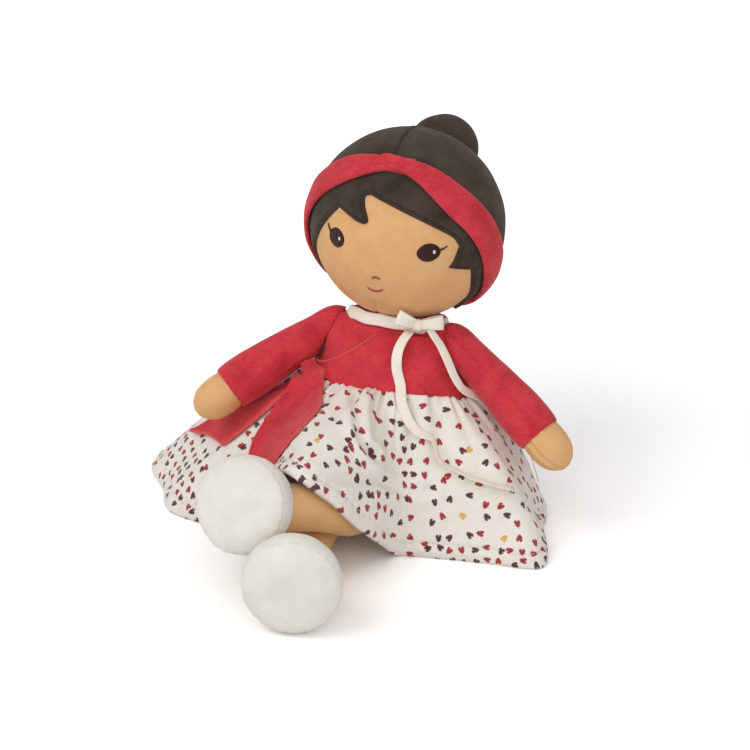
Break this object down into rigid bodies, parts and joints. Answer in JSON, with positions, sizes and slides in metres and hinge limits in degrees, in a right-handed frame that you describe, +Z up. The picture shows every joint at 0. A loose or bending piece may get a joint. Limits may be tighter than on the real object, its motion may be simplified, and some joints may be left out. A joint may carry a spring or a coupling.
{
  "type": "cloth doll",
  "caption": "Seated soft cloth doll with a ball-shaped head, hair bun, twisted headband, wrap dress, gathered skirt, neck ribbon and plump round booties.",
  "frame": {"origin": "on the floor, under the flat of the seat", "axes": "+Z up, the doll faces -Y and its left side is +X"},
  "size_m": [0.2407, 0.255, 0.1995],
  "materials": {
    "jersey": "soft knit",
    "red_velour": "short pile",
    "cream_velour": "short pile with small printed hearts",
    "hair_velour": "short pile",
    "ribbon_satin": "satin",
    "eye_thread": "embroidery",
    "mouth_thread": "embroidery",
    "stuffing": "loose fibre"
  },
  "bodies": {
    "torso": {"lower_body": "jersey", "bodice": "red_velour", "wrap_panel": "red_velour", "torso_stuffing": "stuffing", "skirt": "cream_velour", "sash_knot": "red_velour", "neck_ribbon": "ribbon_satin", "bow_knot": "ribbon_satin", "bow_loop_left": "ribbon_satin", "bow_loop_right": "ribbon_satin", "ribbon_tail_left": "ribbon_satin", "ribbon_tail_right": "ribbon_satin"},
    "neck": {"neck": "stuffing"},
    "head": {"head_skin": "jersey", "head_stuffing": "stuffing", "hair_hood": "hair_velour", "fringe": "hair_velour", "hair_bun": "hair_velour", "bun_stuffing": "stuffing", "headband_left": "red_velour", "headband_right": "red_velour", "eye_left": "eye_thread", "eye_right": "eye_thread", "nose_stitch": "mouth_thread", "mouth_stitch": "mouth_thread"},
    "arm_left": {"sleeve_left": "red_velour", "hand_left": "jersey", "arm_stuffing_left": "stuffing"},
    "arm_right": {"sleeve_right": "red_velour", "hand_right": "jersey", "arm_stuffing_right": "stuffing"},
    "leg_left": {"leg_left": "jersey", "bootie_upper_left": "cream_velour", "bootie_sole_left": "cream_velour", "leg_stuffing_left": "stuffing"},
    "leg_right": {"leg_right": "jersey", "bootie_upper_right": "cream_velour", "bootie_sole_right": "cream_velour", "leg_stuffing_right": "stuffing"},
    "sash_tail_front": {"sash_tail_front": "red_velour"},
    "sash_tail_side": {"sash_tail_side": "red_velour"}
  },
  "joints": [
    {"name": "neck_turn", "type": "hinge", "parent": "torso", "child": "neck", "pos_m": [0, 0.02401, 0.09939], "axis": [0, 0.2419, 0.9703], "range_deg": [-35, 35]},
    {"name": "head_nod", "type": "hinge", "parent": "neck", "child": "head", "pos_m": [0, 0.02401, 0.09939], "axis": [1, 0, 0], "range_deg": [-7, 7], "stiffness_Nm_per_rad": 0.25, "springref_deg": 1.49},
    {"name": "shoulder_left", "type": "hinge", "parent": "torso", "child": "arm_left", "pos_m": [0.0339, 0.018, 0.0936], "axis": [-0.9063, 0, -0.4226], "range_deg": [0, 90]},
    {"name": "shoulder_right", "type": "hinge", "parent": "torso", "child": "arm_right", "pos_m": [-0.0339, 0.018, 0.0936], "axis": [-0.9063, 0, 0.4226], "range_deg": [0, 80]},
    {"name": "hip_left", "type": "hinge", "parent": "torso", "child": "leg_left", "pos_m": [0.018, -0.0255, 0.011], "axis": [-1, 0, 0], "range_deg": [0, 24], "deforming": ["skirt", "sash_tail_front"]},
    {"name": "hip_right", "type": "hinge", "parent": "torso", "child": "leg_right", "pos_m": [-0.018, -0.0255, 0.0123], "axis": [-1, 0, 0], "range_deg": [-50, 0]},
    {"name": "sash_tail_front_lift", "type": "hinge", "parent": "torso", "child": "sash_tail_front", "pos_m": [-0.034, -0.012, 0.0725], "axis": [-0.9944, -0.106, 0], "range_deg": [0, 80]},
    {"name": "sash_tail_side_lift", "type": "hinge", "parent": "torso", "child": "sash_tail_side", "pos_m": [-0.042, -0.0106, 0.0715], "axis": [-0.1772, 0.9842, 0], "range_deg": [0, 2.5]}
  ]
}
